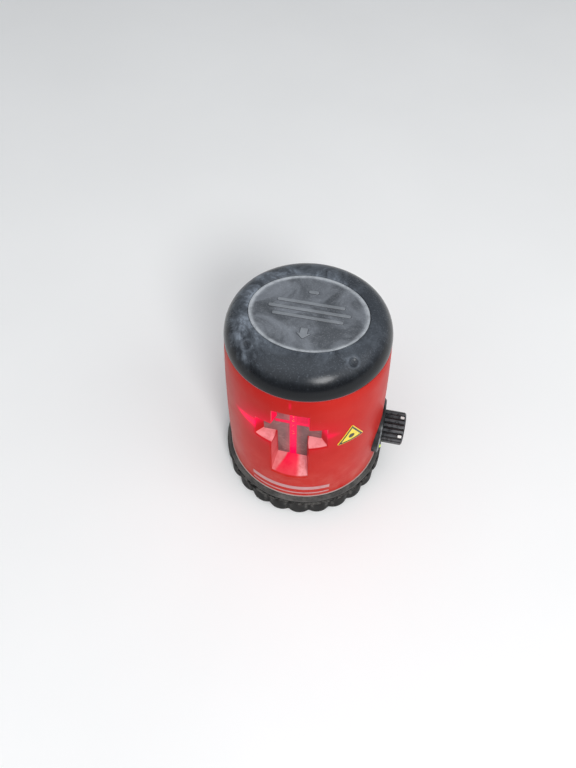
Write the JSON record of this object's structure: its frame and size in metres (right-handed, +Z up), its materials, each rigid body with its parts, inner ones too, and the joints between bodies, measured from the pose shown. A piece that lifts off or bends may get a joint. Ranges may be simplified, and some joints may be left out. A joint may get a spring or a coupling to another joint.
{
  "type": "self-levelling cross-line laser level",
  "caption": "Barrel-shaped cross-line laser level on a swivel base, with a cross window, a pendulum lock knob, a tripod thread and a rear battery door.",
  "frame": {"origin": "centre of the base underside on the swivel axis, at the mouth of the tripod thread", "axes": "+Z up along the swivel axis, front window towards -Y, lock knob towards +X"},
  "size_m": [0.096, 0.0873, 0.1145],
  "materials": {
    "red_plastic": "glossy moulded",
    "cap_black": "dusty satin",
    "base_black": "dusty satin",
    "grip_rubber": "moulded grip",
    "foot_rubber": "soft",
    "brass": "machined",
    "nylon": "natural nylon",
    "steel": "zinc plated",
    "trim_grey": "satin",
    "seal_black": "soft",
    "smoke_pane": "smoke tint",
    "label_yellow": "printed film",
    "label_black": "printed film",
    "stripe_pale": "pad print",
    "knob_black": "satin gloss",
    "mark_white": "filled mark",
    "lamp_green": "clear tint",
    "cast_alloy": "die cast",
    "board_green": "solder mask",
    "component_black": "moulded",
    "wire_red": "insulation",
    "cell_wrap": "shrink film",
    "magnet": "nickel plated",
    "copper": "bare copper",
    "lens_clear": "polished",
    "pad_foam": "soft"
  },
  "bodies": {
    "base": {"base_plate": "base_black", "grip_ring": "grip_rubber", "tripod_insert": "brass", "foot_ring": "foot_rubber", "turntable_washer": "nylon", "retaining_plate": "steel", "retaining_screws": "steel"},
    "knob": {"lock_knob": "knob_black", "knob_shaft": "steel", "lock_cam": "nylon", "knob_marks": "mark_white", "knob_screw": "steel"},
    "plunger": {"lock_plunger": "nylon", "plunger_pad": "pad_foam"},
    "gimbal": {"gimbal_ring": "cast_alloy", "gimbal_pins": "steel", "ring_bearings": "steel"},
    "pendulum": {"pendulum_frame": "cast_alloy", "pendulum_pins": "steel", "laser_module_upper": "cast_alloy", "laser_module_lower": "cast_alloy", "line_lenses": "lens_clear", "balance_slugs": "brass", "pendulum_weight": "brass", "trim_screws": "steel", "damping_vane": "copper"},
    "door": {"battery_door": "red_plastic"},
    "latch": {"door_latch": "red_plastic"},
    "housing": {"bottom_tray": "base_black", "trim_line": "trim_grey", "housing_shell": "red_plastic", "cap_seal": "seal_black", "top_cap": "cap_black", "cap_inlay": "cap_black", "window_pane": "smoke_pane", "pane_frame": "component_black", "hazard_label": "label_yellow", "hazard_symbol": "label_black", "front_stripe": "stripe_pale", "side_plate": "knob_black", "plate_screws": "steel", "led_lens": "lamp_green", "shaft_bushing": "nylon", "shaft_seal": "seal_black", "chassis": "cast_alloy", "chassis_screws": "steel", "housing_screws": "steel", "post_bearings": "steel", "damping_magnets": "magnet", "circuit_board": "board_green", "board_parts": "component_black", "lock_switch": "component_black", "wiring": "wire_red", "battery_cradle": "component_black", "battery_cells": "cell_wrap", "battery_contacts": "steel", "hinge_pin": "steel"}
  },
  "joints": [
    {"name": "swivel", "type": "hinge", "parent": "base", "child": "housing", "pos_m": [0, 0, 0.0116], "axis": [0, 0, 1], "continuous": true},
    {"name": "knob_turn", "type": "hinge", "parent": "housing", "child": "knob", "pos_m": [0.0413, 0, 0.035], "axis": [1, 0, 0], "range_deg": [0, 90]},
    {"name": "lock_lift", "type": "slide", "parent": "housing", "child": "plunger", "axis": [0, 0, 1], "range_m": [0, 0.003]},
    {"name": "gimbal_roll", "type": "hinge", "parent": "housing", "child": "gimbal", "pos_m": [0, 0, 0.092], "axis": [1, 0, 0], "range_deg": [-6, 6]},
    {"name": "gimbal_pitch", "type": "hinge", "parent": "gimbal", "child": "pendulum", "pos_m": [0, 0, 0.092], "axis": [0, 1, 0], "range_deg": [-6, 6]},
    {"name": "door_hinge", "type": "hinge", "parent": "housing", "child": "door", "pos_m": [0, 0.0422, 0.0193], "axis": [-1, 0, 0], "range_deg": [0, 100]},
    {"name": "latch_slide", "type": "slide", "parent": "door", "child": "latch", "axis": [0, 0, -1], "range_m": [0, 0.0013], "stiffness_N_per_m": 200}
  ],
  "couplings": [
    {"joint": "knob_turn", "follows": "lock_lift", "rad_per_m": 523.5}
  ]
}
